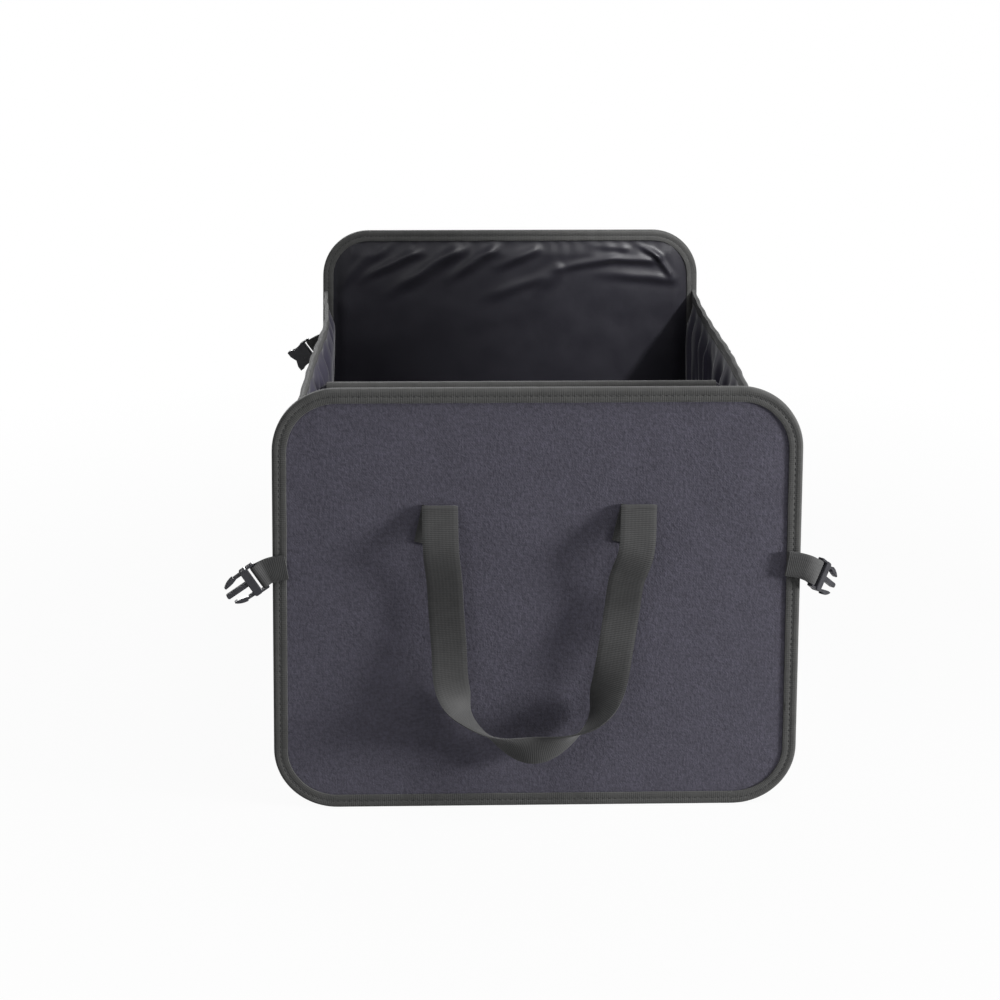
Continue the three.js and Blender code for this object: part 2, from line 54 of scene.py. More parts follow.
# Box, from the frame
FRONT_LOW, FRONT_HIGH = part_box("front_binding")
HALF_LENGTH = -FRONT_LOW.y
PANEL_HEIGHT = FRONT_HIGH.z
PANEL_THICKNESS = FRONT_HIGH.y - FRONT_LOW.y
COVER_FACE = -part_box("front_cover")[0].y
LINING_FACE = -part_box("front_lining")[1].y
WALL_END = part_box("left_wall")[1].y
WALL_HALF_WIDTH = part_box("right_wall")[1].x
WALL_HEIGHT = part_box("right_wall")[1].z
DIVIDER_HALF_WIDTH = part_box("divider_cover")[1].x
DIVIDER_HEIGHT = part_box("divider_binding")[1].z
BASE_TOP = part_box("base_cloth")[1].z

# Sizes that the frame's boxes don't give
PANEL_WIDTH_TOP = 364 * MM
PANEL_WIDTH_FOOT = 380 * MM
PANEL_RADIUS = 45 * MM
BINDING_COVER = 10 * MM
WALL_THICKNESS = 1.2 * MM
PLEAT_COUNT = 13
PLEAT_DEPTH = 7 * MM
WALL_PINCH = 3 * MM
PLEAT_START = 30 * MM
PLEAT_FULL = 222 * MM
PLEAT_HEM = 250 * MM
PLEAT_HEM_SHARE = 0.1
GUSSET_RADIUS_PANEL = 40 * MM
GUSSET_RADIUS_MIDDLE = 12 * MM
GUSSET_RUN = 90 * MM
WALL_TAPE_COVER = 8 * MM
WALL_STATIONS = 365
HANDLE_WEBBING = 25 * MM
HANDLE_THICKNESS = 1.6 * MM
HANDLE_SPAN = 138 * MM
HANDLE_SHIFT = 1 * MM
HANDLE_FOLD_HEIGHT = 229 * MM
HANDLE_FOLD_RADIUS = 1.4 * MM
HANDLE_SEWN_LENGTH = 27 * MM
HANDLE_SEWN_SHIFT = 6 * MM
HANDLE_DROP = 180 * MM
HANDLE_STANDOFF = 20 * MM
HANDLE_TWIST = 163
STRAP_WEBBING = 18 * MM
STRAP_THICKNESS = 1.3 * MM
STRAP_SLANT = 8
STRAP_FLAT = 3 * MM
STRAP_HOLD = 11 * MM
BAR_RADIUS = 1.2 * MM
LAYER_GAP = 0.3 * MM
CLOTH_THICKNESS = 0.8 * MM
TAPE_THICKNESS = 0.8 * MM
STITCH_PITCH = 4.2 * MM
STITCH_LENGTH = 3.1 * MM
THREAD_RADIUS = 0.32 * MM
FINE_THREAD_RADIUS = 0.3 * MM

# Columns and rows of the linings' meshes
FRONT_LINING_MESH = (150, 130)
REAR_LINING_MESH = (240, 190)

# Lamps: name, place, target, size and power
SOFT_LAMPS = [
    ("top", (0.85, -0.75, 2.1), (0, -0.2, 0.2), 1.3, 36),
    ("fill", (-1.2, -1.9, 1.5), (0, 0, 0.2), 0.9, 9),
    ("rear", (-1.0, 2.7, 1.2), (0, 0.2, 0.1), 1.2, 45),
]

# Spots: name, place, target, radius, power, cone in degrees and softness of its edge
SPOT_LAMPS = [
    ("side", (1.8, -0.8, 0.45), (0, -0.305, 0.2), 0.2, 215, 32, 0.6),
    ("beam", (1.15, -1.35, 1.75), (0.122, 0.297, 0.262), 0.12, 640, 5.8, 1.0),
]
AMBIENT_COLOUR = (0.93, 0.96, 1, 1)
AMBIENT_STRENGTH = 0.14

# Floor: its shade, its reach, and how white it looks near the box and further away
FLOOR_SHADE = (0.42, 0.42, 0.42, 1)
FLOOR_REACH = 60.0
FLOOR_WHITE_SPAN = (0.45, 1.0)
FLOOR_WHITE_NEAR = 0.955


# Geometry helpers

def smooth_step(low, high, value):
    t = np.clip((value - low) / (high - low), 0, 1)
    return t * t * (3 - 2 * t)


def noise_at(x, y, z=0.0):
    """Smooth noise from -1 to 1 at arrays of points, in units of one bump."""
    flat = np.broadcast_arrays(x, y, z)
    values = [noise.noise(Vector(p)) for p in zip(*(a.ravel() for a in flat))]
    return np.array(values).reshape(flat[0].shape)


def new_object(name, vertices, faces, material, body="root", uvs=None):
    """A smooth-shaded mesh piece that rides on a body; uvs holds one pair for each vertex."""
    mesh = bpy.data.meshes.new(name)
    mesh.from_pydata([tuple(v) for v in vertices], [], faces)
    if uvs is not None:
        layer = mesh.uv_layers.new(name="weave")
        corners = np.zeros(len(mesh.loops), np.int32)
        mesh.loops.foreach_get("vertex_index", corners)
        layer.data.foreach_set("uv", np.asarray(uvs, np.float32)[corners].ravel())
    mesh.polygons.foreach_set("use_smooth", [True] * len(mesh.polygons))
    mesh.set_sharp_from_angle(angle=math.radians(50))
    mesh.materials.append(material)
    piece = bpy.data.objects.new(name, mesh)
    bpy.context.scene.collection.objects.link(piece)
    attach(piece, body)
    return piece


def closed_cloth(name, outer, inner, material, ring=False, uvs=None, body="root"):
    """A closed solid between two matching grids of points, rows by columns by 3."""
    rows, columns = outer.shape[:2]
    vertices = np.concatenate([outer.reshape(-1, 3), inner.reshape(-1, 3)])
    index = np.arange(rows * columns).reshape(rows, columns)
    back = index + rows * columns
    following = np.roll(index, -1, axis=0) if ring else index
    row_count = rows if ring else rows - 1
    here, there = index[:row_count], (following[:row_count] if ring else index[1:])
    back_here = here + rows * columns
    back_there = there + rows * columns
    quads = [
        np.stack([here[:, :-1], there[:, :-1], there[:, 1:], here[:, 1:]], -1),
        np.stack([back_here[:, :-1], back_here[:, 1:], back_there[:, 1:], back_there[:, :-1]], -1),
        np.stack([here[:, 0], back_here[:, 0], back_there[:, 0], there[:, 0]], -1)[:, None],
        np.stack([here[:, -1], there[:, -1], back_there[:, -1], back_here[:, -1]], -1)[:, None],
    ]
    if not ring:
        for end, sign in ((0, 1), (-1, -1)):
            rim = np.stack([index[end, :-1], index[end, 1:], back[end, 1:], back[end, :-1]], -1)
            quads.append(rim[:, ::sign][None])
    faces = np.concatenate([q.reshape(-1, 4) for q in quads])
    a, b, c, d = (vertices[faces[:, k]] for k in range(4))
    volume = np.einsum("ij,ij->i", a, np.cross(b, c) + np.cross(c, d)).sum()
    if volume < 0:
        faces = faces[:, ::-1]
    both = None if uvs is None else np.concatenate([uvs.reshape(-1, 2)] * 2)
    return new_object(name, vertices, faces.tolist(), material, body, both)


def stitches(name, points, directions, outs, material, length, radius, body="root"):
    """Short rounded threads at points, along directions, standing half out of the cloth."""
    rings, sides = 4, 6
    vertices, faces = [], []
    for point, along, out in zip(points, directions, outs):
        along, out = Vector(along).normalized(), Vector(out).normalized()
        side = along.cross(out)
        first = len(vertices)
        for k in range(rings):
            share = 2 * k / (rings - 1) - 1
            width = radius * math.sqrt(max(1 - 0.85 * share * share, 0))
            lift = radius * (0.7 - 1.3 * share * share)
            middle = Vector(point) + along * share * length / 2 + out * lift
            for s in range(sides):
                angle = 2 * math.pi * s / sides
                vertices.append(middle + width * (math.cos(angle) * side + math.sin(angle) * out))
        for k in range(rings - 1):
            for s in range(sides):
                t = (s + 1) % sides
                a, b = first + k * sides, first + (k + 1) * sides
                faces.append((a + s, a + t, b + t, b + s))
        faces.append(tuple(first + s for s in reversed(range(sides))))
        faces.append(tuple(first + (rings - 1) * sides + s for s in range(sides)))
    return new_object(name, vertices, faces, material, body)


# Materials

class Graph:
    """A node material, made by short calls."""

    def __init__(self, name):
        self.material = bpy.data.materials.new(name)
        self.material.use_nodes = True
        self.tree = self.material.node_tree
        self.shader = self.tree.nodes["Principled BSDF"]

    def node(self, kind, inputs=None, output=0, **settings):
        made = self.tree.nodes.new(kind)
        for key, value in settings.items():
            setattr(made, key, value)
        for key, value in (inputs or {}).items():
            self.plug(value, made.inputs[key])
        return made.outputs[output]

    def plug(self, value, socket):
        if isinstance(value, bpy.types.NodeSocket):
            self.tree.links.new(value, socket)
        else:
            socket.default_value = value

    def math(self, operation, a, b=0.0):
        return self.node("ShaderNodeMath", {0: a, 1: b}, operation=operation)

    def wave(self, coordinate, pitch):
        return self.math("SINE", self.math("MULTIPLY", coordinate, 2 * math.pi / pitch))

    def noise(self, vector, scale, detail=2.0, roughness=0.5):
        inputs = {"Vector": vector, "Scale": scale, "Detail": detail, "Roughness": roughness}
        return self.node("ShaderNodeTexNoise", inputs)

    def ramp(self, value, low, high, dark, light):
        made = self.tree.nodes.new("ShaderNodeMapRange")
        for key, number in {1: low, 2: high, 3: dark, 4: light}.items():
            made.inputs[key].default_value = number
        self.tree.links.new(value, made.inputs[0])
        return made.outputs[0]

    def shaded(self, colour, factor):
        """The colour times a varying factor."""
        return self.node(
            "ShaderNodeVectorMath",
            {0: colour[:3], 1: self.node("ShaderNodeCombineXYZ", {0: factor, 1: factor, 2: factor})},
            operation="MULTIPLY",
        )

    def finish(self, colour, roughness, height=None, depth=0.0, **fixed):
        self.plug(colour, self.shader.inputs["Base Color"])
        self.plug(roughness, self.shader.inputs["Roughness"])
        for key, value in fixed.items():
            self.shader.inputs[key.replace("_", " ")].default_value = value
        if height is not None:
            bump = self.node("ShaderNodeBump", {"Height": height, "Distance": depth})
            self.plug(bump, self.shader.inputs["Normal"])
        return self.material


def srgb(red, green, blue):
    """Linear colour of an sRGB colour from 0 to 255."""
    channels = [c / 255 for c in (red, green, blue)]
    linear = [c / 12.92 if c <= 0.04045 else ((c + 0.055) / 1.055) ** 2.4 for c in channels]
    return (*linear, 1.0)


def woven_cloth(name, colour, pitch, roughness, mottle, sheen, depth=0.25 * MM):
    """Coarse matt cloth of flecked yarn, with short flecks along both yarn directions."""
    graph = Graph(name)
    coordinates = graph.node("ShaderNodeTexCoord", output=3)
    split = graph.node("ShaderNodeSeparateXYZ", {0: coordinates}).node
    warp_wave, weft_wave = (graph.wave(split.outputs[axis], pitch) for axis in ("X", "Z"))
    weave = graph.math("MULTIPLY", warp_wave, weft_wave)
    level = graph.node("ShaderNodeMapping", {"Vector": coordinates, "Scale": (0.55, 0.55, 1.0)})
    upright = graph.node("ShaderNodeMapping", {"Vector": coordinates, "Scale": (1.0, 1.0, 0.55)})
    weft = graph.noise(level, 620.0, 2.0, 0.6)
    warp = graph.noise(upright, 540.0, 2.0, 0.6)
    flecks = graph.math("ADD", weft, warp)
    patches = graph.noise(coordinates, 55.0, 5.0, 0.65)
    fine = graph.ramp(flecks, 0.75, 1.25, 1 - mottle, 1 + mottle)
    broad = graph.ramp(patches, 0.3, 0.7, 1 - 0.35 * mottle, 1 + 0.35 * mottle)
    yarn = graph.ramp(weave, -1, 1, 0.96, 1.04)
    factor = graph.math("MULTIPLY", graph.math("MULTIPLY", fine, broad), yarn)
    height = graph.math("ADD", graph.math("MULTIPLY", weave, 0.25), graph.math("MULTIPLY", flecks, 1.5))
    return graph.finish(
        graph.shaded(colour, factor),
        graph.ramp(warp, 0.3, 0.7, roughness - 0.06, roughness + 0.06),
        height, depth, Sheen_Weight=sheen, Sheen_Roughness=0.5, Specular_IOR_Level=0.3,
    )


def ribbed_tape(name, colour, rib, rows, roughness, depth, chevron=0.0, mottle=0.1):
    """Ribbed webbing or tape: U runs along it, V across, both in metres."""
    graph = Graph(name)
    uv = graph.node("ShaderNodeUVMap", uv_map="weave")
    split = graph.node("ShaderNodeSeparateXYZ", {0: uv}).node
    along, across = split.outputs["X"], split.outputs["Y"]
    zigzag = graph.math("PINGPONG", across, 2 * rows)
    slanted = graph.math("ADD", along, graph.math("MULTIPLY", zigzag, chevron))
    ribs = graph.wave(slanted, rib)
    lanes = graph.wave(across, rows)
    coordinates = graph.node("ShaderNodeTexCoord", output=3)
    grain = graph.noise(coordinates, 1100.0, 2.0, 0.6)
    patches = graph.noise(coordinates, 120.0, 3.0, 0.6)
    fine = graph.ramp(grain, 0.25, 0.75, 1 - mottle, 1 + mottle)
    broad = graph.ramp(patches, 0.3, 0.7, 1 - mottle, 1 + mottle)
    yarn = graph.ramp(ribs, -1, 1, 0.965, 1.03)
    factor = graph.math("MULTIPLY", graph.math("MULTIPLY", fine, broad), yarn)
    height = graph.math("ADD", ribs, graph.math("MULTIPLY", lanes, 0.35))
    return graph.finish(
        graph.shaded(colour, factor),
        graph.ramp(grain, 0.3, 0.7, roughness - 0.07, roughness + 0.07),
        height, depth, Sheen_Weight=0.12, Sheen_Roughness=0.45,
    )


def satin_cloth(name, colour, roughness, sheen):
    """Thin lining with a soft sheen: fine weave, broad soft shimmer."""
    graph = Graph(name)
    coordinates = graph.node("ShaderNodeTexCoord", output=3)
    threads = graph.node("ShaderNodeMapping", {"Vector": coordinates, "Scale": (1.0, 1.0, 0.12)})
    grain = graph.noise(threads, 1500.0, 2.0, 0.6)
    patches = graph.noise(coordinates, 45.0, 4.0, 0.6)
    factor = graph.math(
        "MULTIPLY",
        graph.ramp(grain, 0.25, 0.75, 0.92, 1.08),
        graph.ramp(patches, 0.3, 0.7, 0.93, 1.07),
    )
    return graph.finish(
        graph.shaded(colour, factor),
        graph.ramp(patches, 0.3, 0.7, roughness - 0.05, roughness + 0.05),
        grain, 0.03 * MM, Sheen_Weight=sheen, Sheen_Roughness=0.3, Specular_IOR_Level=0.4,
    )


def moulded_plastic(name, colour, roughness):
    graph = Graph(name)
    coordinates = graph.node("ShaderNodeTexCoord", output=3)
    grain = graph.noise(coordinates, 2500.0, 2.0, 0.5)
    flow = graph.noise(coordinates, 160.0, 2.0, 0.5)
    return graph.finish(
        graph.shaded(colour, graph.ramp(flow, 0.3, 0.7, 0.9, 1.1)),
        graph.ramp(flow, 0.3, 0.7, roughness - 0.05, roughness + 0.08),
        grain, 0.02 * MM,
    )


COVER = woven_cloth("cover_cloth", srgb(70, 68, 79), 1.1 * MM, 0.88, 0.2, 0.08)
DIVIDER_CLOTH = woven_cloth("divider_cloth", srgb(62, 61, 68), 1.1 * MM, 0.88, 0.2, 0.08)
BASE_CLOTH = woven_cloth("base_board_cloth", srgb(58, 57, 64), 1.1 * MM, 0.88, 0.2, 0.08)
# Lining: its base colour is darkened well below the cloth's own tone, as painted shade for the inside of the
# box; its lit patches come from the lamps
LINING_DARKENED_AS_SHADE = satin_cloth("lining_cloth", srgb(29, 28, 35), 0.5, 0.6)
GUSSET = satin_cloth("gusset_cloth", srgb(58, 56, 69), 0.36, 0.9)
TAPE = ribbed_tape("binding_tape", srgb(62, 62, 61), 1.5 * MM, 1.6 * MM, 0.8, 0.045 * MM, mottle=0.14)
WEBBING = ribbed_tape("webbing", srgb(49, 49, 49), 1.3 * MM, 2.5 * MM, 0.75, 0.05 * MM, mottle=0.12)
THREAD = moulded_plastic("thread", srgb(46, 46, 47), 0.6)
BOARD = moulded_plastic("board", srgb(48, 48, 50), 0.7)
BUCKLE = moulded_plastic("buckle_plastic", srgb(44, 44, 48), 0.2)


# Panels

def panel_outline(step=3 * MM):
    """Evenly spaced points round a panel's edge with their outward normals, in x and z."""
    height, radius = PANEL_HEIGHT, PANEL_RADIUS
    foot, top = PANEL_WIDTH_FOOT / 2, PANEL_WIDTH_TOP / 2
    corners = [Vector(c) for c in ((foot, 0), (top, height), (-top, height), (-foot, 0))]
    path = []
    for i, corner in enumerate(corners):
        before = (corners[i - 1] - corner).normalized()
        after = (corners[(i + 1) % 4] - corner).normalized()
        half = math.acos(before.dot(after)) / 2
        centre = corner + (before + after).normalized() * radius / math.sin(half)
        start = corner + before * radius / math.tan(half) - centre
        sweep = math.pi - 2 * half
        for k in range(25):
            turn = Matrix.Rotation(sweep * k / 24, 2)
            path.append(centre + turn @ start)
    path = np.array([tuple(p) for p in path])
    closed = np.vstack([path, path[:1]])
    lengths = np.r_[0, np.cumsum(np.linalg.norm(np.diff(closed, axis=0), axis=1))]
    count = int(round(lengths[-1] / step))
    places = np.linspace(0, lengths[-1], count, endpoint=False)
    points = np.stack([np.interp(places, lengths, closed[:, k]) for k in (0, 1)], -1)
    tangent = np.roll(points, -1, 0) - np.roll(points, 1, 0)
    tangent /= np.linalg.norm(tangent, axis=1)[:, None]
    normals = np.stack([tangent[:, 1], -tangent[:, 0]], -1)
    return points, normals, places


def panel_half_width(z, inset):
    """Half the width of the panel's outline, moved in by inset, at heights z."""
    radius = PANEL_RADIUS - inset
    straight = np.interp(z, [0, PANEL_HEIGHT], [PANEL_WIDTH_FOOT / 2, PANEL_WIDTH_TOP / 2]) - inset
    depth = np.maximum(np.maximum(inset + radius - z, z - (PANEL_HEIGHT - inset - radius)), 0)
    return straight - radius + np.sqrt(np.maximum(radius ** 2 - depth ** 2, 0))


def panel_face(name, node, material, face, depth, thickness, relief, columns=130, rows=110):
    """One cloth of a panel. face is -1 at the front; relief(x, z) is how far it stands out."""
    inset = 1.3 * MM
    angles = np.linspace(0, math.pi, rows)
    blend = np.linspace(0, 1, rows)
    spacing = 0.75 * blend + 0.25 * (1 - np.cos(angles)) / 2
    z = inset + (PANEL_HEIGHT - 2 * inset) * spacing
    u = np.linspace(-1, 1, columns)
    x = u[None, :] * panel_half_width(z, inset)[:, None]
    z = np.repeat(z[:, None], columns, 1)
    out = relief(x, z)
    outer = np.stack([x, face * (depth + out), z], -1)
    inner = np.stack([x, face * (depth - thickness + 0 * out), z], -1)
    uvs = np.stack([x, z], -1)
    piece = closed_cloth(name, outer, inner, material, uvs=uvs)
    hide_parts(node)
    return piece


def edge_distance(x, z):
    """Distance of points from the panel's edge, roughly."""
    side = panel_half_width(z, 0) - np.abs(x)
    return np.minimum(np.minimum(side, z), PANEL_HEIGHT - z)


def cover_relief(seed):
    """The outer cloth lies flat on its board, with slight slack and a pucker at the binding."""
    def relief(x, z):
        edge = smooth_step(BINDING_COVER, 45 * MM, edge_distance(x, z))
        slack = 0.5 * MM * noise_at(x * 9 + seed, z * 9, 0.3)
        slack += 0.25 * MM * noise_at(x * 28 + seed, z * 24, 1.3)
        crease = np.exp(-(((x - 0.9 * z + 0.08) / (9 * MM)) ** 2))
        crease *= smooth_step(0.19, 0.24, z) * smooth_step(0.31, 0.27, z) if seed == 0 else 0.0
        return (0.2 * MM + slack + 0.35 * MM * crease) * edge
    return relief


# Soft folds that run down from the seam of the slack lining: ends in x and z, half width, height
LINING_FOLDS = [
    (-134, 288, -111, 308, 5, 2.2), (-138, 272, -94, 293, 6, 3.4), (-112, 258, -50, 298, 8, 4.2),
    (-54, 271, -20, 295, 7, 3.4), (-22, 293, -6, 308, 7, 3.0), (-8, 280, 24, 297, 6, 2.6),
    (-20, 251, 30, 268, 7, 1.8), (28, 255, 48, 277, 8, 2.2), (46, 277, 98, 287, 5, 1.8),
    (92, 286, 138, 285, 5, 2.4), (80, 301, 112, 298, 5, 1.8), (96, 271, 156, 267, 6, 2.0),
    (126, 300, 146, 288, 4, 2.6), (140, 292, 156, 272, 4, 2.4), (-164, 262, -140, 290, 6, 1.6),
]


def fold(x, z, x0, z0, x1, z1, width, height):
    """One soft fold that starts weakly at its lower end, with a shallow trough beside it."""
    x0, z0, x1, z1, width, height = (v * MM for v in (x0, z0, x1, z1, width, height))
    length = math.hypot(x1 - x0, z1 - z0)
    along = ((x - x0) * (x1 - x0) + (z - z0) * (z1 - z0)) / length
    off = ((z - z0) * (x1 - x0) - (x - x0) * (z1 - z0)) / length / width
    off = off / 0.72 + 0.35 * noise_at(x * 40, z * 40, x0 * 90)
    taper = smooth_step(-0.4 * length, 0.5 * length, along) * smooth_step(1.25 * length, 0.95 * length, along)
    return height * taper * (np.exp(-off ** 2) - 0.22 * np.exp(-((off + 1.7) / 1.1) ** 2))


def lining_relief(seed):
    """The inner lining is slack: folds run down from its top seam, with puckers along the seam."""
    def relief(x, z):
        edge = edge_distance(x, z)
        side = 1 if seed else -1
        folds = sum(fold(side * x, z, *ends) for ends in LINING_FOLDS)
        high = smooth_step(120 * MM, 250 * MM, z)
        ripples = noise_at(x * 14 + seed, z * 34, 5.0) + 0.5 * noise_at(x * 38, z * 60, 7.0)
        phase = x / (15 * MM) + 1.1 * noise_at(x * 16, z * 0, seed)
        pucker = np.sin(2 * math.pi * phase) * (0.6 + 0.6 * noise_at(x * 25, z * 0, seed + 4.0))
        near = smooth_step(30 * MM, 12 * MM, edge) * smooth_step(BINDING_COVER - 1 * MM, 14 * MM, edge)
        broad = 1.2 * MM * noise_at(x * 7 + 3, z * 7 + seed, 0.5)
        held = smooth_step(BINDING_COVER - 1 * MM, 22 * MM, edge)
        bulge = 3.2 * MM * smooth_step(BINDING_COVER - 1 * MM, BINDING_COVER + 15 * MM, edge)
        low = 0.4 + 0.6 * high
        slack = folds + 0.5 * MM * ripples * high + broad
        return bulge * low + held * slack + 0.35 * MM * pucker * near * high
    return relief


def panel_binding(name, face, seed):
    """Tape folded over the panel's edge, with a stitched groove and slight puckers."""
    points, normals, places = panel_outline()
    half = PANEL_THICKNESS / 2
    stitch = 5.2 * MM
    section = [(10, 0.75), (9.7, 0.22), (8.6, 0.02), (6.6, 0.1), (5.6, 0.3), (5.2, 0.42), (4.8, 0.3)]
    section += [(3.8, 0.04), (2.0, 0.0), (0.9, 0.25), (0.25, 0.95), (0.0, 2.2)]
    near = [(a * MM, b * MM) for a, b in section]
    far = [(a, 2 * half - b) for a, b in reversed(near)]
    profile = np.array(near + [(0.0, half)] + far)
    skin = 0.9 * MM
    inner = np.array([
        (max(a, skin), min(max(b, skin), 2 * half - skin)) if a < BINDING_COVER - 1 * MM
        else (a, skin if b < half else 2 * half - skin)
        for a, b in profile
    ])
    wobble = noise_at(places * 45, seed, 0.0)
    ripple = noise_at(places * 160, seed, 4.0)

    def carry(shape, lively):
        inset = shape[None, :, 0] + lively * 0.35 * MM * wobble[:, None] * (shape[None, :, 0] > 8 * MM)
        sink = shape[None, :, 1] - half
        swell = 1 + lively * 0.035 * ripple[:, None]
        depth = half + sink * swell
        x = points[:, None, 0] - normals[:, None, 0] * inset
        z = points[:, None, 1] - normals[:, None, 1] * inset
        return np.stack([x, face * (HALF_LENGTH - depth), z], -1)

    lengths = np.r_[0, np.cumsum(np.linalg.norm(np.diff(profile, axis=0), axis=1))]
    uvs = np.stack(np.broadcast_arrays(places[:, None], lengths[None, :]), -1)
    outer = carry(profile, 1.0)
    tape = closed_cloth(name, outer, carry(inner, 0.0), TAPE, ring=True, uvs=uvs)
    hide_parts(name.replace("_tape", "_binding"))

    total = places[-1] + places[1]
    spots = np.arange(0, total - STITCH_PITCH / 2, STITCH_PITCH)
    wrapped = np.r_[places, total]
    at = [np.interp(spots, wrapped, np.r_[points[:, k], points[0, k]]) for k in (0, 1)]
    out = [np.interp(spots, wrapped, np.r_[normals[:, k], normals[0, k]]) for k in (0, 1)]
    thread_places, thread_ways, thread_outs = [], [], []
    for side in (-1, 1):
        depth = half + side * (half - 0.45 * MM)
        y = face * (HALF_LENGTH - depth)
        facing = face * (1 if side < 0 else -1)
        for px, pz, nx, nz in zip(*at, *out):
            thread_places.append((px - nx * stitch, y, pz - nz * stitch))
            thread_ways.append((-nz, 0, nx))
            thread_outs.append((0, facing, 0))
    thread = stitches(
        name.replace("_tape", "_tape_stitches"), thread_places, thread_ways, thread_outs,
        THREAD, STITCH_LENGTH, THREAD_RADIUS,
    )


def add_panels():
    for name, face in (("front", -1), ("rear", 1)):
        seed = 0 if face < 0 else 7
        panel_face(
            f"{name}_cover_cloth", f"{name}_cover", COVER,
            face, COVER_FACE, CLOTH_THICKNESS, cover_relief(seed),
        )
        columns, rows = FRONT_LINING_MESH if face < 0 else REAR_LINING_MESH
        panel_face(
            f"{name}_lining_cloth", f"{name}_lining", LINING_DARKENED_AS_SHADE,
            face, LINING_FACE, -CLOTH_THICKNESS,
            lambda x, z, seed=seed: -lining_relief(seed)(x, z), columns, rows,
        )
        panel_binding(f"{name}_tape", face, seed)


# Gusset

def gusset_radius(y):
    bend = smooth_step(0, GUSSET_RUN, WALL_END - np.abs(y))
    return GUSSET_RADIUS_PANEL + (GUSSET_RADIUS_MIDDLE - GUSSET_RADIUS_PANEL) * bend


def wall_sway(y, z, side):
    """How far the top of a wall stands inside its plain line: the left one bows in, the right one out."""
    high = smooth_step(90 * MM, 250 * MM, z) * smooth_step(0, 70 * MM, WALL_END - np.abs(y))
    if side < 0:
        return 5 * MM * high * np.exp(-(((y - 0.16) / 0.09) ** 2))
    return -4 * MM * high * (np.exp(-(((y - 0.03) / 0.11) ** 2)) - 0.3)


def pleat_inset(y, z, seed, side):
    """How far the wall's cloth stands inside its straight line at the panels."""
    opened = smooth_step(PLEAT_START, PLEAT_FULL, z)
    hem = smooth_step(PLEAT_FULL, PLEAT_HEM, z)
    inner = smooth_step(WALL_END, WALL_END - 0.05, np.abs(y))
    turns = PLEAT_COUNT * (y + WALL_END) / (2 * WALL_END)
    drift = (0.16 * noise_at(y * 9 + seed, z * 4, 0.0) + 0.07 * noise_at(y * 22, z * 14, seed)) * inner
    wave = 0.5 - 0.5 * np.cos(2 * math.pi * (turns + drift))
    uneven = 0.85 + 0.5 * noise_at(np.round(turns) * 3.7 + seed, z * 3, 8.0)
    pinch = np.cos(math.pi * y / (2 * WALL_END))
    crumple = noise_at(y * 50 + seed, z * 11, 3.0) + 0.6 * noise_at(y * 105 + seed, z * 22, 6.0)
    crumple *= smooth_step(0, 0.03, WALL_END - np.abs(y)) * smooth_step(2 * MM, 12 * MM, z)
    calm = smooth_step(4 * MM, 22 * MM, np.abs(y)) * (1 - 0.92 * hem)
    depth = PLEAT_DEPTH * (1 - (1 - PLEAT_HEM_SHARE) * hem) * (uneven + (1 - uneven) * (1 - calm))
    return opened * (depth * wave + WALL_PINCH * pinch) + 2.3 * MM * crumple * calm + wall_sway(y, z, side)


def wall_grid(side, depth, seed, stations=WALL_STATIONS, rising=60, corner=12):
    y = np.linspace(-WALL_END, WALL_END, stations)[:, None]
    radius = gusset_radius(y)
    angle = np.linspace(0, math.pi / 2, corner, endpoint=False)[None, :]
    reach = radius - depth
    corner_x = WALL_HALF_WIDTH - radius + reach * np.sin(angle)
    corner_z = radius - reach * np.cos(angle)
    share = np.linspace(0, 1, rising)[None, :]
    rise_z = radius + (WALL_HEIGHT - radius) * share
    rise_x = np.full_like(rise_z, WALL_HALF_WIDTH - depth)
    x = np.concatenate([corner_x, rise_x], 1)
    z = np.concatenate([corner_z, rise_z], 1)
    y = np.broadcast_to(y, z.shape)
    x = x - pleat_inset(y, z, seed, side)
    return np.stack([side * x, y, z], -1)


def add_walls():
    for name, side, seed in (("left", -1, 11.0), ("right", 1, 23.0)):
        outer = wall_grid(side, 0.0, seed)
        inner = wall_grid(side, WALL_THICKNESS, seed)
        uvs = outer[..., 1:3]
        wall = closed_cloth(f"{name}_wall_cloth", outer, inner, GUSSET, uvs=np.ascontiguousarray(uvs))
        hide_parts(f"{name}_wall")
        wall_tape(f"{name}_wall", side, seed)


